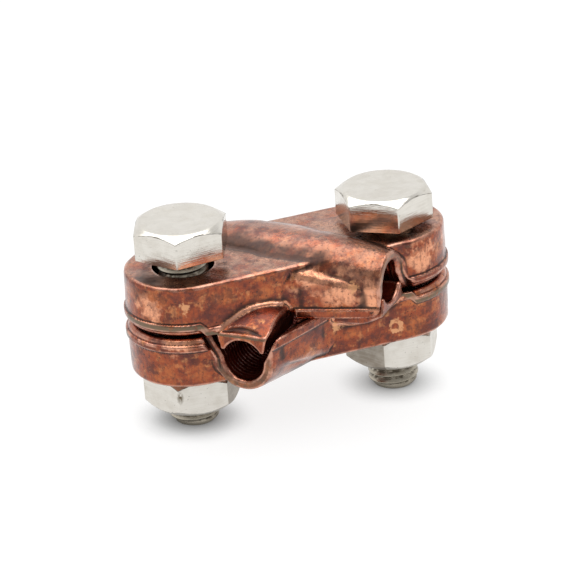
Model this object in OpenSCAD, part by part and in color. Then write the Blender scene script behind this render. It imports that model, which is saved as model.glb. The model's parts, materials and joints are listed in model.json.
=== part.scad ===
// Cross clamp for two round conductors that cross at a right angle.
// Two equal forged copper-alloy halves are drawn together by two hex bolts with nuts.
// Each half carries its own conductor in an open channel under a barrel-shaped hood.
// Each half also reaches into the other half's channel with two grooved tongues.
// X runs along the line of the two bolts, Z runs along the bolts, sizes are in millimetres.

/* [Body] */
// Distance between the two bolt axes
bolt_pitch = 42; // [38:0.5:50]
// Radius of the rounded lobe round each bolt, at the rim
lobe_r = 11.7; // [11.4:0.1:13]
// Inward lean of the lobe wall from rim to top edge
wall_draft = 0.2; // [0:0.05:0.6]
// Radius of the soft edge round the outer face
edge_r = 1.1; // [0.5:0.1:2]
// Thickness of one half at its lobes
lobe_t = 9; // [8.5:0.1:10]
// Open space between the rims of the two halves
rim_gap = 3; // [2.6:0.1:3.4]
// Diameter of the clearance hole for a bolt
hole_d = 12; // [11:0.1:13]

/* [Channel] */
// Angle between the two conductors
cross_angle = 90; // [86:1:94]
// Radius of the conductor groove
groove_r = 4.1; // [3.9:0.05:4.2]
// Height of a conductor axis above the middle plane
axis_h = 4.85; // [4.7:0.05:5]
// Distance from the centre to a channel end face, along the channel
mouth_s = 22.2; // [21.5:0.1:23]
// Depth of the bell mouth at a channel end
bell_t = 1; // [0.4:0.1:1.6]
// Widening of the bell mouth
bell_w = 0.8; // [0.2:0.05:1]
// Half width of the channel opening at the rim
slot_w = 5.95; // [5.85:0.05:6.05]

/* [Barrel] */
// Outer radius of the hood over the crossing
hood_r = 7.7; // [7.4:0.1:8]
// Outer radius of the hood at the channel end
hood_mouth_r = 6.1; // [6:0.05:6.4]
// Sideways growth of the hood towards the free side
hood_lean = 3.1; // [2.5:0.1:3.5]
// Place along the channel where the free side reaches its full growth
lean_s = 6; // [5:0.5:7]
// Place along the channel where the growth starts to fade again
fade_s = 3; // [2:0.5:4]
// Place along the channel where the growth is gone
fade_end_s = 7; // [6:0.5:9]
// Depth of the waist between the barrel and the belly below it
waist = 1.45; // [0:0.05:1.8]
// Height of the belly's top beside the plate, above the middle plane
belly_h = 10; // [9.5:0.1:10.4]
// Height of the belly's top at the channel end
belly_end_h = 6.7; // [6.2:0.1:7.4]
// Radius of the belly's shoulder
belly_r = 2.4; // [1.6:0.1:3]
// Outward draft of the hood legs down to the rim
leg_draft = 0.15; // [0:0.05:0.4]

/* [Tongue] */
// Half width of a tongue at its top edge
tongue_w = 5.2; // [5:0.05:5.3]
// Half width of a tongue at the tips of its legs
tip_w = 4.45; // [4.3:0.05:4.6]
// Reach of the tongue legs past the middle plane
tip_drop = 2.9; // [2.6:0.1:3]
// Height of the tongue's top edge at the channel end, above the middle plane
lip_h = 0.15; // [0.1:0.05:0.4]
// Rise of the tongue's back above its lip
back_h = 3.75; // [3.4:0.05:4]
// Length of the slope from the lip up to the full back
back_l = 8; // [6:0.5:10]
// Crown of the tongue's arched back
crown_h = 1.1; // [0.6:0.1:1.6]
// Place along the channel where a tongue starts
tongue_s = 8.5; // [8:0.1:10]

/* [Trim band] */
// Stand-off of the trimmed flash band from the wall
band_w = 0.4; // [0.2:0.05:0.6]
// Height of the trimmed flash band
band_h = 1.4; // [0.8:0.05:2]
// Place along X where the band starts to step down beside a tongue
step_x = 22.4; // [21.5:0.1:23]
// Length of the sloping part of that step
step_l = 2.4; // [1.5:0.1:3]
// Drop of the band at that step
step_h = 1.3; // [0.8:0.1:1.4]

/* [Fasteners] */
// Major diameter of the bolt thread
bolt_d = 10; // [9.8:0.05:10]
// Length of a bolt under its head
bolt_l = 36; // [35:0.5:38]
// Width across the flats of head and nut
hex_af = 17; // [16:0.5:17]
// Height of a bolt head
head_h = 6.4; // [6:0.1:7]
// Height of a nut
nut_h = 8; // [7.5:0.1:8.5]
// Radial clearance between nut bore and bolt
thread_clear = 0.05; // [0.02:0.01:0.1]
// Corner chamfer angle of head and nut
chamfer_a = 32; // [25:1:35]
// Chamfer at the bolt's free end
end_chamfer = 1; // [0.5:0.1:1.5]
// Space under the head of the left bolt
left_head_gap = 3; // [2:0.1:4]
// Space under the head of the right bolt
right_head_gap = 1; // [0.5:0.1:2]

/* [Hidden] */
// Parts that can be drawn alone
// Height of a rim above the middle plane
rim_z = rim_gap / 2;
// Height of an outer face above the middle plane
top_z = rim_z + lobe_t;
// Height of the middle plane above the lowest bolt end
mid_z = bolt_l - top_z - right_head_gap;
// Half the crossing angle
half_a = cross_angle / 2;
// Bolt radius, hole radius and hex corner radius
bolt_r = bolt_d / 2;
hole_r = hole_d / 2;
hex_r = hex_af / 2 / cos(30);
// Circle that the corner chamfer leaves on a flat face
face_r = hex_af * 0.475;
// Places along the channel at which hood, belly and tongue have a section
hood_s = concat([-fade_end_s, -fade_s], [for (i = [0 : 5]) lean_s + (mouth_s - lean_s) * i / 5]);
belly_s = [for (i = [0 : 5]) lean_s + (mouth_s - lean_s) * i / 5];
back_s = concat([tongue_s], [for (i = [5 : -1 : 0]) mouth_s - back_l * i / 5]);
// Small overlap between joined solids
lap = 0.5;
// Plan reach of a cut that has to leave the body
far = 40;
copper = [0.62, 0.34, 0.22];
steel = [0.78, 0.77, 0.74];

// Puck profile of a lobe: drafted wall, soft outer edge, flat top
function lobe_profile() = concat(
    [[0, rim_z], [lobe_r, rim_z]],
    [for (a = [0 : 15 : 90]) [
        lobe_r - wall_draft - edge_r + edge_r * cos(a),
        top_z - edge_r + edge_r * sin(a)]],
    [[0, top_z]]);

// Outer radius of the hood at a place along the channel
function hood_r_at(s) =
    hood_r - (hood_r - hood_mouth_r) * max(0, abs(s) - lean_s) / (mouth_s - lean_s);

// Sideways growth of the hood at a place along the channel
function lean_at(s) = max(0.1, hood_lean * min(1,
    (s + fade_end_s) / (fade_end_s - fade_s),
    (mouth_s - s) / (mouth_s - lean_s)));

// Depth of the waist at a place along the channel
function waist_at(s) = waist * sin(180 * max(0, s - lean_s) / (mouth_s - lean_s));

// Height of the belly's top at a place along the channel
function belly_at(s) = belly_end_h + (belly_h - belly_end_h) * pow((mouth_s - s) / (mouth_s - lean_s), 1.5);

// Share of the tongue's rise that is reached at a place along the channel
function rise_at(t) = 1 - pow(1 - min(1, (mouth_s - t) / back_l), 2.3);

// Hood section: round over the channel axis, flat where it leans over, waisted on its free side
function hood_outline(s) = let (r = hood_r_at(s), lean = lean_at(s), w = r - waist_at(s)) concat(
    [[r + leg_draft, rim_z]],
    [for (a = [0 : 10 : 90]) [r * cos(a), axis_h + r * sin(a)]],
    [for (a = [90 : 10 : 180]) [w * cos(a) - lean, axis_h + r * sin(a)]],
    [[-w - lean - leg_draft, rim_z]]);

// Belly section: straight outer wall, rounded shoulder, flat top back to the barrel's middle
function belly_outline(s) = let (w = hood_r_at(s) + lean_at(s), top = belly_at(s), r = belly_r) concat(
    [[0, rim_z], [0, top]],
    [for (a = [90 : 15 : 180]) [r - w + r * cos(a), top - r + r * sin(a)]],
    [[-w - leg_draft, rim_z]]);

// Tongue section: arched back over two legs
function tongue_outline(t) = let (
    rise = rise_at(t),
    back = lip_h + back_h * rise,
    crown = crown_h * max(0.1, rise)
) concat(
    [[-tip_w, -tip_drop], [tip_w, -tip_drop]],
    [for (i = [0 : 8]) let (u = tongue_w * (1 - i / 4)) [u, back - crown * pow(u / tongue_w, 2)]]);

// Solid skin over a row of sections along the channel, all with the same number of points
module loft(places, outlines) {
    n = len(outlines[0]);
    m = len(places);
    skin = [for (i = [0 : m - 2]) for (k = [0 : n - 1])
        let (a = i * n + k, b = i * n + (k + 1) % n)
            each [[a, a + n, b + n], [a, b + n, b]]];
    first = [for (k = [0 : n - 1]) k];
    last = [for (k = [n - 1 : -1 : 0]) (m - 1) * n + k];
    polyhedron(
        points = [for (i = [0 : m - 1]) for (p = outlines[i]) [places[i], p[0], p[1]]],
        faces = concat([first, last], skin));
}

// Slab of a channel section between two places along the channel
module slab(points, s, t) {
    translate([s, 0, 0])
        rotate([90, 0, 90])
            linear_extrude(height = t)
                polygon(points);
}

// Flat plate with two rounded lobes, one round each bolt
module lobes() {
    for (turn = [0, 180])
        rotate([0, 0, turn])
            translate([bolt_pitch / 2, 0, 0])
                rotate_extrude($fn = 72)
                    polygon(lobe_profile());
    p = lobe_profile();
    translate([-bolt_pitch / 2, 0, 0])
        rotate([90, 0, 90])
            linear_extrude(height = bolt_pitch)
                polygon(concat(p, [for (i = [len(p) - 1 : -1 : 0]) [-p[i][0], p[i][1]]]));
}

// Hood over the channel: barrel and belly of both ends, each leaning to its free side
module hood() {
    for (turn = [0, 180])
        rotate([0, 0, turn]) {
            loft(hood_s, [for (s = hood_s) hood_outline(s)]);
            loft(belly_s, [for (s = belly_s) belly_outline(s)]);
        }
}

// Two tongues that reach into the channel of the other half
module tongues() {
    for (turn = [0, 180])
        rotate([0, 0, turn])
            loft(back_s, [for (t = back_s) tongue_outline(t)]);
}

// Plan outline of one half, grown by the stand-off of the trim band
module plan(grow) {
    for (x = [-bolt_pitch / 2, bolt_pitch / 2])
        translate([x, 0])
            circle(r = lobe_r + grow, $fn = 72);
    square([bolt_pitch, 2 * (lobe_r + grow)], center = true);
    rotate(-half_a)
        for (turn = [0, 180])
            rotate(turn)
                polygon([
                    [mouth_s, hood_mouth_r + leg_draft + grow],
                    [mouth_s, -hood_mouth_r - leg_draft - grow],
                    [lean_s, -hood_r - hood_lean - leg_draft - grow],
                    [-fade_s, -hood_r],
                    [-fade_s, hood_r]]);
}

// Trimmed flash band round the whole rim
module trim_band() {
    translate([0, 0, rim_z])
        linear_extrude(height = band_h)
            plan(band_w);
}

// Step of the band towards the other half, on the lobe wall beside each tongue
module band_steps() {
    for (turn = [0, 180])
        rotate([0, 0, turn])
            translate([0, lap - lobe_r, 0])
                rotate([90, 0, 0])
                    linear_extrude(height = band_w + lap)
                        polygon([
                            [-step_x, rim_z],
                            [step_l - step_x, rim_z - step_h],
                            [step_l - step_x + lap, rim_z - step_h],
                            [step_l - step_x + lap, rim_z + band_h],
                            [-step_x, rim_z + band_h]]);
}

// Open channel of a half: round groove, flared slot to the rim, bell mouths
module own_channel() {
    bell_r = groove_r + bell_w * (1 + lap / bell_t);
    flank = [[groove_r, axis_h], [slot_w, rim_z], [slot_w, -far]];
    slot = concat(flank, [for (i = [2 : -1 : 0]) [-flank[i][0], flank[i][1]]]);
    slab(slot, -far, 2 * far);
    translate([-far, 0, axis_h])
        rotate([0, 90, 0])
            cylinder(h = 2 * far, r = groove_r, $fn = 64);
    for (turn = [0, 180])
        rotate([0, 0, turn])
            translate([mouth_s - bell_t, 0, axis_h])
                rotate([0, 90, 0])
                    cylinder(h = bell_t + lap, r1 = groove_r, r2 = bell_r, $fn = 64);
}

// Groove that the other half's conductor leaves under the tongues
module other_groove() {
    translate([-far, 0, -axis_h])
        rotate([0, 90, 0])
            cylinder(h = 2 * far, r = groove_r, $fn = 64);
}

// One half with its channel on the upper side of the middle plane
module clamp_half() {
    difference() {
        union() {
            lobes();
            trim_band();
            band_steps();
            rotate([0, 0, -half_a])
                hood();
            rotate([0, 0, half_a])
                tongues();
        }
        rotate([0, 0, -half_a])
            own_channel();
        rotate([0, 0, half_a])
            other_groove();
        for (x = [-bolt_pitch / 2, bolt_pitch / 2])
            translate([x, 0, -lap])
                cylinder(h = top_z + 2 * lap, r = hole_r, $fn = 64);
    }
}

// Hexagonal prism with its corners turned off at the top face, and at the lower one if asked
module hex_blank(h, both, turn) {
    out_r = hex_r + lap;
    drop = (out_r - face_r) * tan(chamfer_a);
    low = both ? [[face_r, 0], [out_r, drop]] : [[out_r, 0]];
    intersection() {
        rotate([0, 0, turn])
            cylinder(h = h, r = hex_r, $fn = 6);
        rotate_extrude($fn = 72)
            polygon(concat([[0, 0]], low, [[out_r, h - drop], [face_r, h], [0, h]]));
    }
}

// Hex bolt hanging from the underside of its head at the origin
module bolt(turn) {
    hex_blank(head_h, false, turn);
    translate([0, 0, -bolt_l])
        cylinder(h = end_chamfer, r1 = bolt_r - end_chamfer, r2 = bolt_r, $fn = 64);
    translate([0, 0, end_chamfer - bolt_l])
        cylinder(h = bolt_l - end_chamfer + lap, r = bolt_r, $fn = 64);
}

// Hex nut with its upper face at the origin
module nut(turn) {
    translate([0, 0, -nut_h])
        difference() {
            hex_blank(nut_h, true, turn);
            translate([0, 0, -lap])
                cylinder(h = nut_h + 2 * lap, r = bolt_r + thread_clear, $fn = 64);
        }
}

// Upper half: its channel runs from back left to front right
module upper_half() {
    color(copper)
        translate([0, 0, mid_z])
            clamp_half();
}

// Lower half: the same forging turned over
module lower_half() {
    color(copper)
        translate([0, 0, mid_z])
            rotate([180, 0, 0])
                clamp_half();
}

// Left bolt: still loose, its head stands clear of the lobe
module left_bolt() {
    color(steel)
        translate([-bolt_pitch / 2, 0, mid_z + top_z + left_head_gap])
            bolt(5.5);
}

// Right bolt: its head is almost down on the lobe
module right_bolt() {
    color(steel)
        translate([bolt_pitch / 2, 0, mid_z + top_z + right_head_gap])
            bolt(25);
}

// Left nut under the lower half
module left_nut() {
    color(steel)
        translate([-bolt_pitch / 2, 0, mid_z - top_z])
            nut(54.5);
}

// Right nut under the lower half
module right_nut() {
    color(steel)
        translate([bolt_pitch / 2, 0, mid_z - top_z])
            nut(59.7);
}

upper_half();
lower_half();
left_bolt();
right_bolt();
left_nut();
right_nut();
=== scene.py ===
"""Looks of a bolted cross clamp: two forged copper halves, two hex bolts and two hex nuts.

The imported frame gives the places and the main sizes. Each half is a distance field in millimetres
that is turned into a mesh, so its fillets, trim lines and grooves have their true form. The
fasteners are lofted from rings, with real threads.
"""

import json
import logging
import math
from dataclasses import dataclass
from enum import Enum
from typing import Any, Callable, Sequence

import bpy
import numpy as np
from mathutils import Matrix, Vector

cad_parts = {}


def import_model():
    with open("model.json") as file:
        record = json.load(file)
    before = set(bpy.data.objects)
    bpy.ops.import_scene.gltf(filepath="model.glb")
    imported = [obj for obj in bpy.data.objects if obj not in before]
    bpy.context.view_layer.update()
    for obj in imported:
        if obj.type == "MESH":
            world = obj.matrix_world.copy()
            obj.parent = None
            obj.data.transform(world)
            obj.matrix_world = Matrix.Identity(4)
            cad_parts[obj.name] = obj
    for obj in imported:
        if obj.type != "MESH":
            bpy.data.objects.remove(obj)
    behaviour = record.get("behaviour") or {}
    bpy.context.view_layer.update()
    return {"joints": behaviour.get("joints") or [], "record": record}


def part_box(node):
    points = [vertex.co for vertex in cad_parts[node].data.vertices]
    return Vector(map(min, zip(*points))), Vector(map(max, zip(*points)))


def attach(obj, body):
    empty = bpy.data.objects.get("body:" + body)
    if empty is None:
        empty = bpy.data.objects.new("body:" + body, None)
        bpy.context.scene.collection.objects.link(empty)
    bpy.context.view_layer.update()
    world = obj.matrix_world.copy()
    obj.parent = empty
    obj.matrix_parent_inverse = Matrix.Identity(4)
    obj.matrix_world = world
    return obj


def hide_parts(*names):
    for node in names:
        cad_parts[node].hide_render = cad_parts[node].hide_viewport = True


LOG = logging.getLogger("cross_clamp")
MM = 0.001
# Unit of a diagonal direction in plan
DIAGONAL = math.sqrt(0.5)

Array = np.ndarray
Material = bpy.types.Material
Object = bpy.types.Object
Socket = bpy.types.NodeSocket
Tree = bpy.types.NodeTree
Field = Callable[[Array, Array, Array], Array]


class Side(Enum):
    """Which way up a half of the clamp lies."""

    UPPER = 1
    LOWER = -1

    def turn(self, points: Array) -> Array:
        """Turns points of a half about the row of bolts if it is the lower one."""
        return points * np.array([1, self.value, self.value])


class Mask(Enum):
    """Named point values of a mesh that its finish reads."""

    TRIM = "trim"
    EDGE = "edge"
    RUB = "rub"
    WEAR = "wear"
    BARE = "bare"
    BORE = "bore"
    THREAD = "thread"
    SEAM = "seam"
    # Painted shade on the nut flats that face each other
    FILM = "film"


class Blend(Enum):
    """What a stack of layers mixes, with the numbers of the mix node's two inputs and its output."""

    RGBA = (6, 7, 2)
    FLOAT = (2, 3, 0)


def linear(hex_colour: str) -> tuple[float, float, float, float]:
    """Turns an sRGB hex value into a linear colour.

    Args:
        hex_colour: Six hex digits, with or without a leading hash.

    Returns:
        Linear red, green, blue and an alpha of 1.
    """
    digits = hex_colour.lstrip("#")
    parts = [int(digits[i : i + 2], 16) / 255 for i in (0, 2, 4)]
    flat = [c / 12.92 if c <= 0.04045 else ((c + 0.055) / 1.055) ** 2.4 for c in parts]
    return (flat[0], flat[1], flat[2], 1.0)


def add_node(
    tree: Tree, kind: str, links: dict[Any, Any] | None = None, **settings: Any
) -> bpy.types.Node:
    """Adds a node, sets its properties and fills its inputs.

    Args:
        tree: The node tree that gets the node.
        kind: Blender's name of the node type.
        links: Input name or number to an output socket, or to a plain value.
        settings: Properties of the node itself.

    Returns:
        The new node.
    """
    node = tree.nodes.new(kind)
    for name, value in settings.items():
        setattr(node, name, value)
    for key, value in (links or {}).items():
        if isinstance(value, Socket):
            tree.links.new(value, node.inputs[key])
        else:
            node.inputs[key].default_value = value
    return node


def clear_tree(owner: Material | bpy.types.World) -> Tree:
    """Gives a material or world an empty node tree.

    Args:
        owner: The material or world.

    Returns:
        The tree.
    """
    owner.use_nodes = True
    owner.node_tree.nodes.clear()
    return owner.node_tree


def round_max(a: Array, b: Array, radius: float | Array) -> Array:
    """Intersects two distance fields with a rounded outer edge.

    Args:
        a: First field.
        b: Second field.
        radius: Radius of the edge.

    Returns:
        The joined field.
    """
    corner = np.hypot(np.maximum(a + radius, 0), np.maximum(b + radius, 0))
    return np.minimum(np.maximum(a, b), -radius) + corner


def round_min(a: Array, b: Array, radius: float | Array) -> Array:
    """Unites two distance fields with a round fillet.

    Args:
        a: First field.
        b: Second field.
        radius: Radius of the fillet.

    Returns:
        The joined field.
    """
    return -round_max(-a, -b, radius)


def ease(x: Array, start: float, end: float) -> Array:
    """Rises smoothly from 0 at start to 1 at end.

    Args:
        x: Places.
        start: Where the rise starts.
        end: Where it ends, which may lie before the start.

    Returns:
        Values from 0 to 1.
    """
    t = np.clip((x - start) / (end - start), 0, 1)
    return t * t * (3 - 2 * t)


def make_piece(
    name: str, points: Array, faces: Array | Sequence[Sequence[int]], material: Material
) -> Object:
    """Makes a smooth-shaded mesh object from points in millimetres.

    Args:
        name: Name of the object and its mesh.
        points: Points, one row each.
        faces: Point numbers of each face.
        material: Finish of the whole piece.

    Returns:
        The new object, linked into the scene.
    """
    mesh = bpy.data.meshes.new(name)
    rows = faces.tolist() if isinstance(faces, np.ndarray) else faces
    mesh.from_pydata((points * MM).tolist(), [], rows)
    mesh.polygons.foreach_set("use_smooth", [True] * len(mesh.polygons))
    mesh.materials.append(material)
    mesh.update()
    piece = bpy.data.objects.new(name, mesh)
    bpy.context.scene.collection.objects.link(piece)
    return piece


def give_mask(piece: Object, mask: Mask, values: Array) -> None:
    """Stores one value for each point of a piece.

    Args:
        piece: The mesh object.
        mask: Name of the values.
        values: One value for each point.
    """
    layer = piece.data.attributes.new(mask.value, "FLOAT", "POINT")
    layer.data.foreach_set("value", values.astype(np.float32))


@dataclass
class FieldMesher:
    """Meshes the zero surface of a distance field with one point in each cell that it crosses."""

    low: Array
    high: Array
    cell: float
    probe: float = 0.04
    rounds: int = 4
    least_slope: float = 0.3

    def mesh(self, shape: Field) -> tuple[Array, Array]:
        """Builds the surface.

        Args:
            shape: Distance field in millimetres, negative inside.

        Returns:
            Points in millimetres and quads that face outwards.
        """
        pad = 2 * self.cell
        axes = [np.arange(a - pad, b + pad, self.cell) for a, b in zip(self.low, self.high)]
        values = shape(*np.meshgrid(*axes, indexing="ij"))
        cells = np.array(values.shape) - 1
        total = np.zeros((int(cells.prod()), 3))
        count = np.zeros(int(cells.prod()))
        quads = []
        for axis in range(3):
            near = np.moveaxis(values, axis, 0)[:-1]
            far = np.moveaxis(values, axis, 0)[1:]
            found = np.argwhere((near < 0) != (far < 0))
            a = near[tuple(found.T)]
            b = far[tuple(found.T)]
            order = [axis] + [i for i in range(3) if i != axis]
            index = np.empty_like(found)
            index[:, order] = found
            place = index.astype(float)
            place[:, axis] += a / (a - b)
            corners = []
            for du, dv in ((0, 0), (1, 0), (1, 1), (0, 1)):
                corner = index.copy()
                corner[:, (axis + 1) % 3] -= du
                corner[:, (axis + 2) % 3] -= dv
                flat = np.ravel_multi_index(tuple(corner.T), tuple(cells))
                np.add.at(total, flat, place)
                np.add.at(count, flat, 1)
                corners.append(flat)
            quad = np.stack(corners, axis=1)
            quads.append(np.where((a < 0)[:, None], quad, quad[:, ::-1]))
        used = count > 0
        number = np.cumsum(used) - 1
        origin = np.array([a[0] for a in axes])
        points = origin + total[used] / count[used, None] * self.cell
        return self.settle(points, shape), number[np.concatenate(quads)]

    def slope(self, points: Array, shape: Field, step: float) -> Array:
        """Finds the gradient of the field by central differences.

        Args:
            points: Points near the surface.
            shape: The distance field.
            step: Distance to each side at which the field is read.

        Returns:
            One gradient for each point.
        """
        offsets = np.eye(3) * step
        sides = [shape(*(points + o).T) - shape(*(points - o).T) for o in offsets]
        return np.stack(sides, axis=1) / (2 * step)

    def settle(self, points: Array, shape: Field) -> Array:
        """Moves points along the gradient until they lie on the surface.

        Args:
            points: Starting points near the surface.
            shape: The distance field.

        Returns:
            The settled points.
        """
        reach = self.cell / 2
        for _ in range(self.rounds):
            slope = self.slope(points, shape, self.probe)
            move = shape(*points.T) / np.maximum((slope**2).sum(axis=1), self.least_slope)
            points = points - np.clip(move, -reach, reach)[:, None] * slope
        return points

    def bend(self, points: Array, shape: Field, step: float) -> Array:
        """Sum of the surface's curvatures at the points, positive on outer edges.

        Args:
            points: Points on the surface.
            shape: The distance field.
            step: Distance over which the surface is felt.

        Returns:
            Curvature in 1/mm, one value for each point.
        """
        offsets = np.concatenate([np.eye(3), -np.eye(3)]) * step
        around = sum(shape(*(points + o).T) for o in offsets)
        return (around - 6 * shape(*points.T)) / step**2


@dataclass(frozen=True)
class Spot:
    """A round place on the skin of one half, in mm from the middle of the clamp; hollow makes it a ring."""

    side: Side
    x: float
    y: float
    z: float
    radius: float
    hollow: float = 0.0


@dataclass
class ClampHalf:
    """One forged half, drawn with its channel above the middle plane and repeated by a half turn."""

    # From the frame
    half_pitch: float
    axis_h: float
    groove_r: float
    mouth_s: float
    mid_z: float
    # Plate with its two lobes
    lobe_r: float = 11.7
    wall_draft: float = 0.2
    edge_r: float = 0.7
    lobe_t: float = 9.0
    rim_z: float = 1.5
    hole_r: float = 6.0
    hole_edge: float = 0.3
    # Hood over the channel, leaning to its free side, with a belly below its waist
    hood_r: float = 7.7
    hood_mouth_r: float = 5.6
    hood_lean: float = 2.2
    belly_lean: float = 3.1
    lean_s: float = 6.0
    crest_s: float = 7.5
    swell: float = 1.5
    fade_s: float = 0.0
    fade_end_s: float = 7.5
    waist: float = 1.45
    belly_h: float = 9.8
    belly_end_h: float = 6.7
    belly_fall: float = 1.5
    belly_slope: float = 1.5
    belly_swell: float = 0.75
    belly_r: float = 1.9
    leg_draft: float = 0.15
    end_edge: float = 0.4
    # Fillets between hood, belly and plate
    waist_fillet: float = 0.6
    crease_fillet: float = 1.3
    least_fillet: float = 0.15
    foot_fillet: float = 0.25
    foot_l: float = 5.0
    wall_fillet: float = 0.9
    wall_fillet_z: tuple[float, float] = (9.5, 7.0)
    # Channel
    slot_w: float = 5.95
    bell_t: float = 1.0
    bell_free: float = 0.35
    bell_lobe: float = 1.1
    bell_u: tuple[float, float] = (1.0, 5.0)
    rib_pitch: float = 1.0
    rib_h: float = 0.12
    rib_end: tuple[float, float] = (0.6, 2.0)
    mouth_edge: float = 0.25
    # Tongue
    tongue_w: float = 5.2
    tip_w: float = 4.45
    tip_drop: float = 2.9
    taper_end: float = 1.3
    lip_h: float = 0.15
    back_h: float = 3.75
    back_l: float = 8.0
    arch: float = 2.3
    arch_scale: float = 0.75
    crown_h: float = 1.1
    tongue_s: float = 8.0
    scoop_h: float = 0.8
    scoop_l: float = 1.6
    scoop_edge: float = 0.2
    burr_h: float = 0.2
    burr_in: float = 0.3
    burr_w: float = 0.35
    back_edge: float = 0.45
    face_edge: float = 0.25
    under_bell: float = 0.3
    under_bell_l: float = 0.6
    root_fillet: float = 0.2
    # Bead along the root of a tongue
    bead_r: float = 0.5
    bead_z: float = 0.7
    bead_over: float = 0.2
    bead_in: float = 3.0
    bead_fillet: float = 0.1
    # Trimmed flash band
    band_w: float = 0.4
    band_h: float = 1.4
    hood_band_w: float = 0.12
    hood_band_h: float = 0.6
    hood_clear: float = 0.4
    lobe_clear: float = 0.2
    sharp: float = 0.18
    rim_edge: float = 0.3
    # Lip under the hood's free side
    flange_w: float = 0.4
    flange_in: float = 1.1
    flange_top: float = 0.4
    flange_drop: float = 1.5
    flange_s: float = 6.4
    # Step of the band beside a tongue, with the starts of its slope and sag as shares of its length
    step_x: float = 22.4
    step_l: float = 2.4
    slope_start: float = 0.1
    sag_start: float = 0.4
    step_h: float = 1.3
    step_in: float = 0.9
    step_end: float = 1.7
    step_ramp: float = 1.1
    step_sag: float = 0.2
    step_fall: float = 0.8
    step_least: float = 0.1
    # Raised land inside the band, which faces the other half
    land_h: float = 1.15
    land_r: float = 1.1
    land_in: float = 0.1
    # Unevenness of the forging, with its waves in radians per mm along each axis
    wave_h: float = 0.03
    long_wave: tuple[float, float] = (0.61, 0.83)
    short_wave: tuple[float, float] = (1.27, 1.05)
    # Meshing
    cell: float = 0.32
    margin: float = 0.3

    @property
    def top_z(self) -> float:
        """Height of the outer face above the middle plane."""
        return self.rim_z + self.lobe_t

    def along(self, x: Array, y: Array) -> Array:
        """Place along the half's own channel, towards front right."""
        return DIAGONAL * (x - y)

    def across(self, x: Array, y: Array) -> Array:
        """Place across the half's own channel, which is also along the other channel."""
        return DIAGONAL * (x + y)

    def plate(self, x: Array, y: Array, z: Array) -> Array:
        """Flat plate with two round lobes, a drafted wall and a soft top edge.

        Args:
            x: Places along the row of bolts.
            y: Places across it.
            z: Heights above the middle plane.

        Returns:
            Distance field, negative inside.
        """
        radius = self.lobe_r - self.wall_draft * (z - self.rim_z) / self.lobe_t
        wall = np.hypot(np.maximum(np.abs(x) - self.half_pitch, 0), y) - radius
        return round_max(wall, z - self.top_z, self.edge_r)

    def taper(self, s: Array, full_s: float) -> Array:
        """Share of the way from a channel end back to the place of the full form, for one end."""
        return np.clip((self.mouth_s - s) / (self.mouth_s - full_s), 0, 1)

    def leg(self, z: Array) -> Array:
        """Outward draft of the hood's legs at a height."""
        return self.leg_draft * np.maximum(self.axis_h - z, 0) / (self.axis_h - self.rim_z)

    def end_hood(self, s: Array, u: Array, z: Array) -> Array:
        """Hood of one end: round over the axis, flat where it leans, waisted on its free side.

        Args:
            s: Places along the half's own channel.
            u: Places across it.
            z: Heights above the middle plane.

        Returns:
            Distance field, negative inside.
        """
        thin = 1 - self.taper(np.abs(s), self.crest_s)
        radius = self.hood_r - (self.hood_r - self.hood_mouth_r) * thin**self.swell
        narrow = radius - self.waist * np.sin(math.pi * (1 - self.taper(s, self.crest_s))) ** 2
        lean = self.hood_lean * (1 - (1 - self.taper(s, self.crest_s)) ** self.swell)
        free = np.minimum(u + lean * ease(s, -self.fade_end_s, -self.fade_s), 0)
        aside = np.where(u < 0, free * radius / narrow, u)
        return np.hypot(aside, np.maximum(z - self.axis_h, 0)) - radius - self.leg(z)

    def belly(self, s: Array, u: Array, z: Array) -> Array:
        """Belly under the waist of one end, lower towards the channel end.

        Args:
            s: Places along the half's own channel.
            u: Places across it.
            z: Heights above the middle plane.

        Returns:
            Distance field, negative inside.
        """
        share = self.taper(s, self.lean_s)
        lean = self.belly_lean * share**self.belly_swell * ease(s, -self.fade_end_s, -self.fade_s)
        wall = -u - self.hood_mouth_r - (self.hood_r - self.hood_mouth_r) * share - lean - self.leg(z)
        top = self.belly_end_h + (self.belly_h - self.belly_end_h) * share**self.belly_fall
        top = top - self.belly_slope * np.maximum(self.lean_s - s, 0)
        return np.maximum(round_max(wall, z - top, self.belly_r), u)

    def hood(self, s: Array, u: Array, z: Array) -> Array:
        """Hood of both ends with their bellies, open-ended along the channel.

        Args:
            s: Places along the half's own channel.
            u: Places across it.
            z: Heights above the middle plane.

        Returns:
            Distance field, negative inside.
        """
        body = round_min(self.end_hood(s, u, z), self.end_hood(-s, -u, z), self.crease_fillet)
        for way in (1, -1):
            body = round_min(body, self.belly(way * s, way * u, z), self.waist_fillet)
        return body

    def shell(self, x: Array, y: Array, z: Array) -> Array:
        """Outer form of the forging without band, tongues and cuts.

        Args:
            x: Places along the row of bolts.
            y: Places across it.
            z: Heights above the middle plane.

        Returns:
            Distance field, negative inside.
        """
        s = self.along(x, y)
        hood = round_max(self.hood(s, self.across(x, y), z), np.abs(s) - self.mouth_s, self.end_edge)
        inward = ease(np.abs(s), self.mouth_s, self.mouth_s - self.foot_l)
        fillet = self.least_fillet + self.foot_fillet * inward
        fillet = fillet + self.wall_fillet * ease(z, *self.wall_fillet_z)
        # Long and short waves whose phases don't line up, so no pattern shows
        wave = np.sin(self.long_wave[0] * x + 1.1) * np.sin(self.long_wave[1] * y + 0.4)
        wave = wave + np.sin(self.short_wave[0] * x - 0.9 * z) * np.sin(self.short_wave[1] * y + z)
        return round_min(self.plate(x, y, z), hood, fillet) + self.wave_h * wave

    def on_hood(self, x: Array, y: Array) -> Array:
        """Whether a place lies on the hood's side of the outline rather than on a lobe's."""
        return np.abs(y) > np.abs(x)

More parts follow.
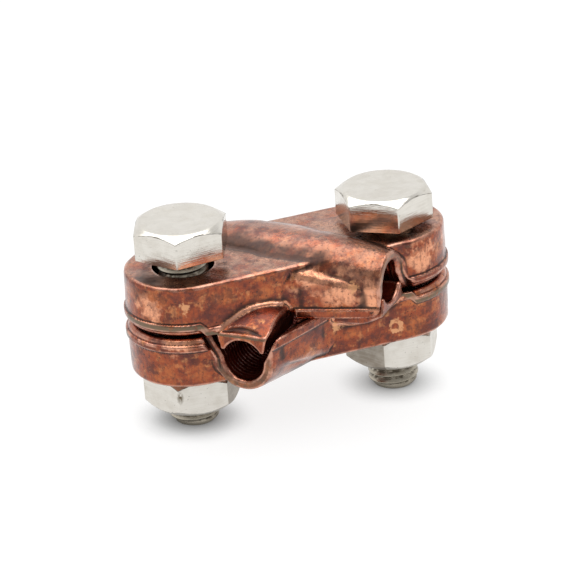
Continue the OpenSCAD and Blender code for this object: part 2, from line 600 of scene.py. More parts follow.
    def outline(self, x: Array, y: Array, z: Array) -> Array:
        """Finds the plan distance from the trimmed outline, the same at every height.

        Args:
            x: Places along the row of bolts.
            y: Places across it.
            z: Heights, of which only the array's shape counts.

        Returns:
            Distance, negative inside.
        """
        s = self.along(x, y)
        level = np.full_like(z, self.rim_z + self.band_h / 2)
        width = np.where(self.on_hood(x, y), self.hood_band_w, self.band_w)
        hood = np.maximum(self.hood(s, self.across(x, y), level) - width, np.abs(s) - self.mouth_s)
        return np.minimum(self.plate(x, y, level) - width, hood)

    def band(self, x: Array, y: Array, z: Array, out: Array) -> Array:
        """Trimmed flash band round the rim, left out over the tongues.

        Args:
            x: Places along the row of bolts.
            y: Places across it.
            z: Heights above the middle plane.
            out: Plan distance from the trimmed outline.

        Returns:
            Distance field, negative inside.
        """
        half = np.where(self.on_hood(x, y), self.hood_band_h, self.band_h) / 2
        strip = round_max(out, z - self.rim_z - 2 * half, self.sharp)
        strip = round_max(strip, self.rim_z - z, np.minimum(self.rim_edge, half))
        beside = DIAGONAL * (self.step_x - self.lobe_r) - self.lobe_clear
        clear = np.where(self.on_hood(x, y), self.tongue_w - self.hood_clear, beside)
        return np.maximum(strip, clear - np.abs(self.along(x, y)))

    def land(self, x: Array, y: Array, z: Array) -> Array:
        """Raised land of the plate with a round edge, on the side that faces the other half.

        Args:
            x: Places along the row of bolts.
            y: Places across it.
            z: Heights above the middle plane.

        Returns:
            Distance field, negative inside.
        """
        inside = self.plate(x, y, np.full_like(z, self.rim_z + self.land_r)) + self.land_in
        body = round_max(inside, self.rim_z - self.land_h - z, self.land_r)
        return np.maximum(body, z - self.rim_z - self.land_r)

    def flange(self, x: Array, y: Array, z: Array, out: Array) -> Array:
        """Lip under the hood's free side, from beside the tongue to the channel end.

        Args:
            x: Places along the row of bolts.
            y: Places across it.
            z: Heights above the middle plane.
            out: Plan distance from the trimmed outline.

        Returns:
            Distance field, negative inside.
        """
        s = self.along(x, y)
        height = round_max(self.rim_z - self.flange_drop - z, z - self.rim_z - self.flange_top, self.sharp)
        side = np.maximum(out - self.flange_w, -self.flange_in - out)
        ends = np.maximum(self.flange_s - np.abs(s), np.abs(s) - self.mouth_s)
        ends = np.maximum(ends, self.slot_w + self.across(x, y) * np.sign(s))
        return round_max(round_max(height, side, self.sharp), ends, self.sharp)

    def step_place(self, x: Array, y: Array) -> Array:
        """Place along the rim from the start of the step beside a tongue."""
        return np.where(y < 0, x, -x) + self.step_x

    def step_top(self, x: Array, y: Array) -> Array:
        """Height of the trimmed band's upper edge where it slopes down beside a tongue."""
        share = np.clip(self.step_place(x, y) / self.step_l - self.slope_start, 0, 1)
        return self.rim_z + self.band_h - (self.band_h + self.step_fall) * share

    def step(self, x: Array, y: Array, z: Array, out: Array) -> Array:
        """Strip of the band that slopes down beside a tongue.

        Args:
            x: Places along the row of bolts.
            y: Places across it.
            z: Heights above the middle plane.
            out: Plan distance from the trimmed outline.

        Returns:
            Distance field, negative inside.
        """
        front = self.step_place(x, y)
        low = self.rim_z - self.step_h * np.clip(front / self.step_ramp, 0, 1)
        low = low - self.step_sag * np.clip(front / self.step_l - self.sag_start, 0, 1)
        high = np.maximum(self.step_top(x, y), self.rim_z + self.step_least)
        height = round_max(low - z, z - high, self.sharp)
        ends = np.maximum(-front, front - self.step_l - self.step_end)
        return round_max(np.maximum(height, ends), np.maximum(out, -self.step_in - out), self.sharp)

    def tongue(self, x: Array, y: Array, z: Array) -> Array:
        """Tongue over the other half's channel: arched back, tapered legs, flat end face.

        Args:
            x: Places along the row of bolts.
            y: Places across it.
            z: Heights above the middle plane.

        Returns:
            Distance field, negative inside.
        """
        t = np.abs(self.across(x, y))
        v = np.abs(self.along(x, y))
        low = np.clip((z + self.tip_drop) / (self.tip_drop + self.lip_h), 0, self.taper_end)
        side = v - self.tip_w - (self.tongue_w - self.tip_w) * low
        rise = 1 - (1 - np.clip((self.mouth_s - t) / self.back_l, 0, 1)) ** self.arch
        inset = self.mouth_s - t
        burr = self.burr_h * np.exp(-(((inset - self.burr_in) / self.burr_w) ** 2))
        share = v / self.tongue_w
        scoop = self.scoop_h * ease(inset - self.scoop_l * (1 - share**2), self.scoop_edge, -self.scoop_edge)
        back = z - self.lip_h - self.back_h * rise - burr + self.crown_h * rise * share**2 + scoop * rise
        # Scaled, because the steep end of the arch makes this field rise faster than distance
        body = round_max(side, self.arch_scale * back, self.back_edge)
        body = round_max(body, t - self.mouth_s, self.face_edge)
        return np.maximum(round_max(body, -self.tip_drop - z, self.sharp), self.tongue_s - t)

    def own_channel(self, s: Array, u: Array, z: Array) -> Array:
        """Open channel: ribbed round groove, flared slot to the rim, bell mouths.

        Args:
            s: Places along the half's own channel.
            u: Places across it.
            z: Heights above the middle plane.

        Returns:
            Distance field, negative inside.
        """
        phase = np.abs((s / self.rib_pitch) % 1 - 0.5) * 4 - 1
        wide = self.bell_free + (self.bell_lobe - self.bell_free) * ease(u * np.sign(s), *self.bell_u)
        bell = wide * np.clip((np.abs(s) - self.mouth_s + self.bell_t) / self.bell_t, 0, 1) ** 2
        inside = ease(np.abs(s), self.mouth_s - self.rib_end[0], self.mouth_s - self.rib_end[1])
        groove = self.groove_r + self.rib_h * phase * inside + bell
        rise = z - self.axis_h
        flare = (self.slot_w - self.groove_r) * np.minimum(rise, 0) / (self.axis_h - self.rim_z)
        return np.hypot(u, np.maximum(rise, 0)) - groove + flare

    def solid(self, x: Array, y: Array, z: Array) -> Array:
        """Distance field of the whole half, negative inside the metal.

        Args:
            x: Places along the row of bolts.
            y: Places across it.
            z: Heights above the middle plane.

        Returns:
            Distance field, negative inside.
        """
        s = self.along(x, y)
        u = self.across(x, y)
        out = self.outline(x, y, z)
        shell = self.shell(x, y, z)
        tongue = self.tongue(x, y, z)
        body = np.minimum(round_max(shell, self.rim_z - z, self.sharp), self.land(x, y, z))
        body = round_min(body, tongue, self.root_fillet)
        ends = np.maximum(self.bead_z - z, np.abs(s) - self.tip_w - self.bead_over)
        bead = np.maximum(np.hypot(shell, tongue) - self.bead_r, ends)
        bead = np.maximum(bead, self.tongue_s + self.bead_in - np.abs(u))
        body = round_min(body, bead, self.bead_fillet)
        for strip in (self.band, self.step, self.flange):
            body = np.minimum(body, strip(x, y, z, out))
        body = round_max(body, -self.own_channel(s, u, z), self.mouth_edge)
        flare = np.clip((np.abs(u) - self.mouth_s + self.under_bell_l) / self.under_bell_l, 0, 1) ** 2
        under = self.groove_r + self.under_bell * flare
        body = round_max(body, under - np.hypot(s, z + self.axis_h), self.sharp)
        return round_max(body, self.hole_r - np.hypot(np.abs(x) - self.half_pitch, y), self.hole_edge)

    def mesher(self) -> FieldMesher:
        """Sizes the grid that holds the whole half.

        Returns:
            The mesher.
        """
        reach_x = self.half_pitch + self.lobe_r + self.band_w
        reach_y = DIAGONAL * (self.mouth_s + self.hood_mouth_r + self.leg_draft + self.band_w)
        low = np.array([-reach_x, -reach_y, -self.tip_drop])
        high = np.array([reach_x, reach_y, self.axis_h + self.hood_r])
        return FieldMesher(low - self.margin, high + self.margin, self.cell)

    def build(self, material: Material) -> list[Object]:
        """Meshes the half once and sets it in both places.

        Args:
            material: The forged copper finish.

        Returns:
            Upper and lower half.
        """
        mesher = self.mesher()
        points, quads = mesher.mesh(self.solid)
        pieces = []
        for side in Side:
            placed = side.turn(points) + np.array([0, 0, self.mid_z])
            piece = make_piece(f"{side.name.lower()}_forging", placed, quads, material)
            for mask, values in HalfSkin(self, side, points).masks(mesher).items():
                give_mask(piece, mask, values)
            node = f"{side.name.lower()}_half"
            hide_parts(node)
            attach(piece, node)
            pieces.append(piece)
        return pieces


@dataclass
class HalfSkin:
    """Skin of one half at its mesh points: where it is cut, worn, rubbed or dirty, and where shade and
    highlights are painted on it.

    The limits in its methods are distances or heights in mm between which a value fades.
    """

    half: ClampHalf
    side: Side
    points: Array
    bore_top: float = 0.4
    feel: float = 0.4
    hood_trim: float = 0.25
    lower_wear: float = 0.35
    # Spots rubbed bright; pale spots, some worn to the metal and some painted highlights on the belly and the
    # lower land; and spots of painted shade with some grime
    rubbed: Sequence[Spot] = (
        Spot(Side.UPPER, -25.1, -10.8, 6.3, 2.3),
        Spot(Side.UPPER, 7.0, -17.4, 5.75, 2.2),
        Spot(Side.LOWER, 5.3, -11.65, -4.2, 1.9),
        Spot(Side.LOWER, 5.9, -11.65, -2.6, 1.6),
        Spot(Side.LOWER, 17.6, -11.6, -6.8, 0.9, 1.1),
    )
    bare: Sequence[Spot] = (
        Spot(Side.UPPER, 24.2, -11.1, 6.9, 5.0),
        Spot(Side.UPPER, -30.6, -6.0, 5.2, 4.2),
        # Painted highlights on the belly
        Spot(Side.UPPER, -0.3, -13.0, 7.2, 4.6),
        Spot(Side.UPPER, 5.2, -16.0, 6.2, 5.4),
        Spot(Side.UPPER, 10.2, -19.2, 4.8, 4.6),
        # Painted highlight on the lower half's land
        Spot(Side.LOWER, -27.0, -9.4, -0.8, 4.2),
    )
    # Spots of painted shade, with some grime, beside the hood and under the left bolt head
    grimy_and_shaded: Sequence[Spot] = (
        Spot(Side.UPPER, -8.5, 4.0, 11.0, 7.0),
        Spot(Side.UPPER, -5.5, -1.5, 11.0, 3.5),
        Spot(Side.UPPER, -30.0, -4.0, 10.5, 7.0),
        Spot(Side.UPPER, 21.1, -11.5, 9.5, 1.6),
    )

    def __post_init__(self) -> None:
        """Works out the distances that the masks share."""
        half = self.half
        self.x, self.y, self.z = self.points.T
        self.s = half.along(self.x, self.y)
        self.u = half.across(self.x, self.y)
        self.out = half.outline(self.x, self.y, self.z)
        self.hood = half.hood(self.s, self.u, self.z)
        self.plate = half.plate(self.x, self.y, self.z)
        self.shell = half.shell(self.x, self.y, self.z)
        self.tongue = half.tongue(self.x, self.y, self.z)
        self.trimmed = np.where(half.on_hood(self.x, self.y), self.hood_trim, 1.0)

    def near(self, spots: Sequence[Spot]) -> Array:
        """Finds how near the points lie to the middle of the spots on this half.

        Args:
            spots: The spots of both halves.

        Returns:
            A value for each point, 1 in the middle of a spot and 0 outside.
        """
        placed = self.side.turn(self.points)
        value = np.zeros(len(placed))
        for spot in (p for p in spots if p.side is self.side):
            away = np.linalg.norm(placed - np.array([spot.x, spot.y, spot.z]), axis=1)
            near = np.abs(away - spot.hollow) if spot.hollow else away
            value = np.maximum(value, np.clip(1 - near / spot.radius, 0, 1))
        return value

    def strip(self) -> Array:
        """Finds the cut face of the flash band, which follows the step beside a tongue.

        Returns:
            A value from 0 to 1 for each point.
        """
        half = self.half
        level = half.rim_z + half.band_h
        top = np.where(half.on_hood(self.x, self.y), level, half.step_top(self.x, self.y))
        return ease(np.abs(self.out), 0.16, 0.06) * ease(self.z, top + 0.15, top) * self.trimmed

    def ring(self) -> Array:
        """Finds the cut face round the end of the channel.

        Returns:
            A value from 0 to 1 for each point.
        """
        half = self.half
        end = ease(np.abs(np.abs(self.s) - half.mouth_s), 0.3, 0.12)
        return end * ease(self.hood, 0.3, 0.1) * ease(self.z, half.rim_z - 0.2, half.rim_z)

    def lip(self) -> Array:
        """Finds the cut edge at the front of a tongue.

        Returns:
            A value from 0 to 1 for each point.
        """
        half = self.half
        front = ease(np.abs(self.u), half.mouth_s - 0.5, half.mouth_s - 0.3)
        edge = front * ease(np.abs(self.z - half.lip_h), 0.3, 0.12)
        return edge * ease(np.abs(self.s), half.tongue_w + 0.4, half.tongue_w)

    def bore(self) -> Array:
        """Finds the walls of both grooves, short of the channel ends.

        Returns:
            A value from 0 to 1 for each point.
        """
        half = self.half
        inner = ease(np.abs(half.own_channel(self.s, self.u, self.z)), 0.5, 0.25)
        under = ease(np.abs(np.hypot(self.s, self.z + half.axis_h) - half.groove_r), 0.5, 0.25)
        both = np.clip(inner + under * (self.z < self.bore_top), 0, 1)
        reach = np.maximum(np.abs(self.s), np.abs(self.u))
        return both * ease(reach, half.mouth_s - 0.2, half.mouth_s - 1.8)

    def outer(self) -> Array:
        """Outer part of a tongue, away from the middle of the clamp."""
        return ease(np.abs(self.u), self.half.tongue_s + 2, self.half.tongue_s + 4)

    def root(self) -> Array:
        """Finds the bead along the root of a tongue.

        Returns:
            A value from 0 to 1 for each point.
        """
        half = self.half
        near = ease(np.hypot(self.shell, self.tongue), half.bead_r + 0.25, half.bead_r + 0.05)
        return near * self.outer() * ease(self.z, half.bead_z - 0.3, half.bead_z)

    def wear(self) -> Array:
        """Finds where the skin is handled: on the hood and on the flat of the plate.

        Returns:
            A value from 0 to 1 for each point.
        """
        z = self.z
        hood = ease(np.abs(self.hood), 0.35, 0.15) * ease(z, 2.5, 5.0)
        hood = hood * np.maximum(ease(self.plate, 0.2, 3.0), ease(z, 9.0, 11.0))
        hood = hood * (0.55 - 0.1 * ease(z, 9.0, 6.5))
        flat = ease(np.abs(z - self.half.top_z), 0.25, 0.1) * ease(self.hood, 0.1, 0.4)
        shown = 1.0 if self.side is Side.UPPER else self.lower_wear
        return np.clip(hood * shown + 0.8 * flat, 0, 1)

    def shade_dirt_and_highlight(self) -> Array:
        """Weighs painted shade, with some grime, at the hood's foot, on the tongues' backs, above their beads
        and in a few spots, against painted highlights on the beads and along the rim and a lighter waist
        crease.

        Returns:
            What is taken off the edge value of each point.
        """
        half, s, u, z = self.half, self.s, self.u, self.z
        crease = [np.abs(half.end_hood(k * s, k * u, z) - half.belly(k * s, k * u, z)) for k in (1, -1)]
        waist = ease(np.minimum(*crease), 1.8, 0.6) * ease(z, 1.8, 2.5) * ease(self.plate, 0.5, 1.5)
        reach = 0.9 + 1.5 * ease(z, 8.5, 10.0)
        foot = ease(self.plate / reach, 1.0, 0.1) * ease(np.abs(self.hood), 0.3, 0.1) * ease(z, 9.0, 10.2)
        back = ease(np.abs(self.tongue), 0.2, 0.05) * ease(np.abs(u), half.mouth_s - 0.1, half.mouth_s - 0.6)
        root = self.root()
        brow = ease(self.tongue, 1.8, 0.7) * ease(np.abs(self.shell), 0.15, 0.05)
        brow = brow * self.outer() * (1 - root)
        rim = ease(np.abs(z - half.rim_z), 0.8, 0.3) * ease(np.abs(self.out), 1.0, 0.5) * self.trimmed
        # Foot, back, brow and the spots on the next line paint shade with some grime; waist lightens its
        # crease; root and rim paint highlights
        shade_dirt_and_highlight = 0.28 * foot + 0.14 * back + 0.22 * brow - 0.15 * waist - 0.5 * root - 0.3 * rim
        return shade_dirt_and_highlight + 0.3 * self.near(self.grimy_and_shaded)

    def masks(self, mesher: FieldMesher) -> dict[Mask, Array]:
        """Gathers the point values that the finish reads.

        Args:
            mesher: The grid that made the points.

        Returns:
            A value from 0 to 1 for each point and mask.
        """
        strip = self.strip()
        lip = self.lip()
        root = self.root()
        bend = mesher.bend(self.points, self.half.solid, self.feel) * (1 - 0.7 * np.maximum(lip, strip))
        return {
            # Pale spots, with painted highlights on the belly, the lower land and the root beads
            Mask.BARE: np.maximum(self.near(self.bare), 0.8 * root),
            Mask.TRIM: np.clip(strip * (1 - root) + 0.55 * self.ring() + lip, 0, 1),
            # Low values get painted shade in the hollows, high ones worn edges and painted highlights
            Mask.EDGE: np.clip(0.5 + 0.25 * bend - self.shade_dirt_and_highlight(), 0, 1),
            Mask.RUB: self.near(self.rubbed),
            Mask.WEAR: self.wear(),
            Mask.BORE: self.bore(),
        }


@dataclass
class HexForm:
    """Plan of a hexagon with slightly rounded corners, sampled densest near the corners."""

    flats: float
    corner_r: float
    turn_deg: float

    def angles(self) -> Array:
        """Spreads sample angles round the whole hexagon.

        Returns:
            Angles in radians.
        """
        side = np.array([-30, -29.4, -28.7, -27.8, -26.5, -24, -20, -15, -10, -5, 0])
        side = np.concatenate([side, -side[-2:0:-1]])
        return np.radians(np.concatenate([side + 60 * i for i in range(6)]))

    def radii(self) -> Array:
        """Finds the distance from the axis to the outline at each sample angle.

        Returns:
            Distances in millimetres.
        """
        half = self.flats / 2
        off = np.abs((np.degrees(self.angles()) + 30) % 60 - 30)
        flat = half / np.cos(np.radians(off))
        core = (half - self.corner_r) / math.cos(math.pi / 6)
        aside = np.radians(30 - off)
        under = np.maximum(self.corner_r**2 - (core * np.sin(aside)) ** 2, 0)
        arc = core * np.cos(aside) + np.sqrt(under)
        near = core * np.sin(aside) < self.corner_r / 2
        return np.where(near, arc, flat)

    def ring(self, radii: Array | float, heights: Array | float) -> Array:
        """Sets a ring of points round the axis, one at each sample angle.

        Args:
            radii: Distance from the axis, for all points or for each one.
            heights: Height, for all points or for each one.

        Returns:
            The points.
        """
        angles = self.angles()
        turned = angles + math.radians(self.turn_deg)
        radius = np.broadcast_to(radii, angles.shape)
        height = np.broadcast_to(heights, angles.shape)
        return np.stack([radius * np.cos(turned), radius * np.sin(turned), height], axis=1)


def loft(rings: Sequence[Array], closed: bool) -> tuple[Array, list[list[int]]]:
    """Joins rings of equal length with quads.

    Args:
        rings: Rings of points, from the first to the last.
        closed: Whether the last ring joins the first one.

    Returns:
        Points and faces.
    """
    size = len(rings[0])
    pairs = [(i, i + 1) for i in range(len(rings) - 1)]
    if closed:
        pairs.append((len(rings) - 1, 0))
    faces = []
    for a, b in pairs:
        for i in range(size):
            j = (i + 1) % size
            faces.append([a * size + i, a * size + j, b * size + j, b * size + i])
    return np.concatenate(rings), faces


@dataclass
class HexFastener:
    """Sizes that a bolt and its nut share."""

    node: str
    axis_x: float
    low_z: float
    high_z: float
    turn_deg: float
    flats: float = 17.0
    corner_r: float = 0.35
    chamfer_deg: float = 32.0
    face_r: float = 7.9
    soft: float = 0.16
    thread_r: float = 4.97
    root_r: float = 4.1
    pitch: float = 1.5
    hair: float = 0.01

    def form(self) -> HexForm:
        """Hexagon of the head or nut."""
        return HexForm(self.flats, self.corner_r, self.turn_deg)

    def chamfered(self, form: HexForm, height: float, upward: bool) -> list[Array]:
        """Rings from the flats over the turned corner chamfer to the flat face.

        Args:
            form: The hexagon.
            height: Height of the flat face.
            upward: Whether the face looks up.

        Returns:
            Rings in order from the flats to the face.
        """
        way = 1 if upward else -1
        slope = math.tan(math.radians(self.chamfer_deg))
        radii = form.radii()
        depth = np.maximum(radii - self.face_r, 0) * slope
        inner = self.face_r + (radii - self.face_r) * 0.93
        inner_depth = (inner - self.face_r) * slope
        # From below the chamfer over its soft edge, then along its cone and onto the face
        return [
            form.ring(radii, height - way * (depth + 1.6 * self.soft)),
            form.ring(radii, height - way * (depth + 0.6 * self.soft)),
            form.ring(radii - self.soft * 0.25, height - way * depth),
            form.ring(inner, height - way * inner_depth),
            form.ring(self.face_r + (radii - self.face_r) * 0.5, height - way * depth * 0.5),
            form.ring(self.face_r + 0.08, height - way * 0.05),
            form.ring(self.face_r - 0.22, height),
        ]

    def seam(self, points: Array) -> Array:
        """Value of each hexagon point for the thin dark line where a chamfer cuts the flats.

        Args:
            points: Points of the head or nut, ring by ring, about its own axis.

        Returns:
            1 on the line and 0 elsewhere.
        """
        form = self.form()
        radii = np.tile(form.radii(), len(points) // len(form.angles()))
        away = radii - np.hypot(points[:, 0], points[:, 1])
        return (np.abs(away - self.soft * 0.25) < self.hair).astype(float)

    def finish(self, piece: Object) -> Object:
        """Sets a piece in the place of its solid.

        Args:
            piece: The new piece, already in place.

        Returns:
            The same piece.
        """
        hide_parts(self.node)
        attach(piece, self.node)
        return piece


@dataclass
class HexBolt(HexFastener):
    """Hex bolt with a thread right up to its head."""

    head_h: float = 6.4
    dish_r: float = 7.0
    dish_h: float = 0.02
    end_r: float = 3.9
    dark_root_fade: tuple[float, float] = (0.7, 1.2)
    steps: int = 56

    def head(self) -> tuple[Array, list[list[int]]]:
        """Makes the head, closed at both faces.

        Returns:
            Points and faces.
        """
        form = self.form()
        under = self.high_z - self.head_h
        radii = form.radii()
        rings = [
            form.ring(self.hair, under),
            form.ring(self.face_r, under),
            form.ring(radii - self.soft, under),
            form.ring(radii, under + self.soft),
        ]
        rings += self.chamfered(form, self.high_z, True)
        rings += [form.ring(r, self.high_z - self.dish_h) for r in (self.dish_r, self.hair)]
        return loft(rings, False)

    def thread(self) -> tuple[Array, list[list[int]]]:
        """Makes the threaded shank, one helical strip with a chamfered end.

        Returns:
            Points and faces.
        """
        top = self.high_z - self.head_h
        root, crest = self.root_r, self.thread_r
        # Share of the pitch and radius at each corner of the thread's profile
        profile = [(0.0, root), (0.12, root), (0.44, crest), (0.56, crest), (0.88, root), (1.0, root)]
        turns = (top - self.low_z) / self.pitch + 2
        rows = int(turns * self.steps)
        angle = np.arange(rows + 1) * 2 * math.pi / self.steps
        columns = []
        for share, radius in profile:
            height = self.low_z + (angle / (2 * math.pi) - 1 + share) * self.pitch
            inside = np.clip(height, self.low_z, top)
            limit = self.end_r + inside - self.low_z
            r = np.minimum(np.where(height < self.low_z, self.end_r, radius), limit)
            columns.append(np.stack([r * np.cos(angle), r * np.sin(angle), inside], axis=1))
        width = len(columns)
        points = np.stack(columns, axis=1).reshape(-1, 3)
        faces = []
        for i in range(rows):
            for k in range(width - 1):
                a = i * width + k
                faces.append([a, a + width, a + width + 1, a + 1])
        centre = len(points)
        points = np.concatenate([points, [[0, 0, self.low_z]]])
        for i in range(self.steps):
            faces.append([centre, (i + 1) * width, i * width])
        return points, faces

    def build(self, material: Material) -> Object:
        """Makes the bolt.

        Args:
            material: The stainless finish.

        Returns:
            The bolt, riding on its body.
        """
        head_points, head_faces = self.head()
        shank_points, shank_faces = self.thread()
        shift = len(head_points)
        faces = head_faces + [[i + shift for i in f] for f in shank_faces]
        points = np.concatenate([head_points, shank_points]) + np.array([self.axis_x, 0, 0])
        piece = make_piece(f"{self.node}_steel", points, faces, material)
        give_mask(piece, Mask.THREAD, np.arange(len(points)) >= shift)
        deep = (self.thread_r - np.hypot(*shank_points.T[:2])) / (self.thread_r - self.root_r)
        deep = deep * ease(shank_points[:, 2] - self.low_z, *self.dark_root_fade)
        give_mask(piece, Mask.SEAM, np.concatenate([self.seam(head_points), np.clip(deep, 0, 1)]))
        return self.finish(piece)


@dataclass
class HexNut(HexFastener):
    """Hex nut with both faces chamfered and a countersunk bore."""

    chamfer_deg: float = 38.0
    face_r: float = 7.6
    bore_r: float = 5.05
    sink_r: float = 5.5
    sink_h: float = 0.45
    shaded_flat: int = 0

    def film(self, points: Array) -> Array:
        """Value of each point for the painted shade on the flat that faces the other nut.

        Args:
            points: Points of the nut about its own axis.

        Returns:
            1 on that flat and 0 beyond its corners.
        """
        # A flat ends at its corners, 30 degrees to each side of its middle
        angle = np.degrees(np.arctan2(points[:, 1], points[:, 0])) - self.turn_deg - 60 * self.shaded_flat
        return ease(np.abs((angle + 180) % 360 - 180), 30.5, 29.0)

    def build(self, material: Material) -> Object:
        """Makes the nut.

        Args:
            material: The stainless finish.

        Returns:
            The nut, riding on its body.
        """
        form = self.form()
        rings = [form.ring(self.bore_r, self.low_z + self.sink_h), form.ring(self.sink_r, self.low_z)]
        rings += self.chamfered(form, self.low_z, False)[::-1]
        rings += self.chamfered(form, self.high_z, True)
        rings += [form.ring(self.sink_r, self.high_z), form.ring(self.bore_r, self.high_z - self.sink_h)]
        points, faces = loft(rings, True)
        piece = make_piece(f"{self.node}_steel", points + np.array([self.axis_x, 0, 0]), faces, material)
        give_mask(piece, Mask.SEAM, self.seam(points))
        give_mask(piece, Mask.FILM, self.film(points))
        return self.finish(piece)


@dataclass(frozen=True)
class Finish:
    """What both finishes share: patterns of a real size, layered colours and a slight relief."""

    name: str

    def blotches(
        self,
        tree: Tree,
        size_mm: float,
        edge: tuple[float, float],
        detail: float = 3.0,
        stretch: tuple[float, float, float] = (1.0, 1.0, 1.0),
        most: float = 1.0,
    ) -> Socket:
        """Adds soft-edged blotches.

        Args:
            tree: The material's node tree.
            size_mm: Size of a blotch.
            edge: Noise values at which a blotch starts and is full.
            detail: Octaves of finer noise.
            stretch: Scale of the pattern along each axis.
            most: Factor where a blotch is full.

        Returns:
            Factor from 0 to the highest one.
        """
        place = add_node(tree, "ShaderNodeTexCoord").outputs["Object"]
        scaled = add_node(tree, "ShaderNodeVectorMath", {0: place, 1: stretch}, operation="MULTIPLY")
        noise = add_node(
            tree,
            "ShaderNodeTexNoise",
            {"Vector": scaled.outputs[0], "Scale": 1 / (size_mm * MM), "Detail": detail, "Roughness": 0.6},
        )
        limits = {"Value": noise.outputs[0], "From Min": edge[0], "From Max": edge[1], "To Max": most}
        return add_node(tree, "ShaderNodeMapRange", limits, interpolation_type="SMOOTHSTEP").outputs[0]

    def masked(self, tree: Tree, mask: Mask, edge: tuple[float, float], *factors: Any) -> Socket:
        """Adds a factor from a point value of the mesh.

        Args:
            tree: The material's node tree.
            mask: The point value.
            edge: Values at which the factor is 0 and 1.
            factors: Sockets or numbers that it is multiplied by.

        Returns:
            Factor from 0 to 1.
        """
        value = add_node(tree, "ShaderNodeAttribute", attribute_name=mask.value).outputs["Fac"]
        limits = {"Value": value, "From Min": edge[0], "From Max": edge[1]}
        result = add_node(tree, "ShaderNodeMapRange", limits, interpolation_type="SMOOTHSTEP").outputs[0]
        for factor in factors:
            result = add_node(tree, "ShaderNodeMath", {0: result, 1: factor}, operation="MULTIPLY").outputs[0]
        return result

    def frayed(
        self, tree: Tree, mask: Mask, noise: Socket, edge: tuple[float, float], most: float
    ) -> Socket:
        """Adds a patch that is full in its middle and ragged at its edge.

        Args:
            tree: The material's node tree.
            mask: The point value, highest in the middle.
            noise: Pattern that is added to it.
            edge: Sums at which the patch starts and is full.
            most: Factor in the middle.

        Returns:
            Factor from 0 to the highest one.
        """
        value = add_node(tree, "ShaderNodeAttribute", attribute_name=mask.value).outputs["Fac"]
        both = add_node(tree, "ShaderNodeMath", {0: value, 1: noise}, operation="ADD").outputs[0]
        limits = {"Value": both, "From Min": edge[0], "From Max": edge[1], "To Max": most}
        return add_node(tree, "ShaderNodeMapRange", limits).outputs[0]

    def layered(self, tree: Tree, base: Any, layers: Sequence[tuple[Any, Any]], kind: Blend) -> Socket:
        """Mixes layers over a base value, one after the other.

        Args:
            tree: The material's node tree.
            base: Colour or number under all layers.
            layers: Factor and value of each layer.
            kind: Whether they are colours or numbers.

        Returns:
            The mixed value.
        """
        low, high, result = kind.value
        value = base
        for factor, top in layers:
            mix = add_node(tree, "ShaderNodeMix", {0: factor, low: value, high: top}, data_type=kind.name)
            value = mix.outputs[result]
        return value


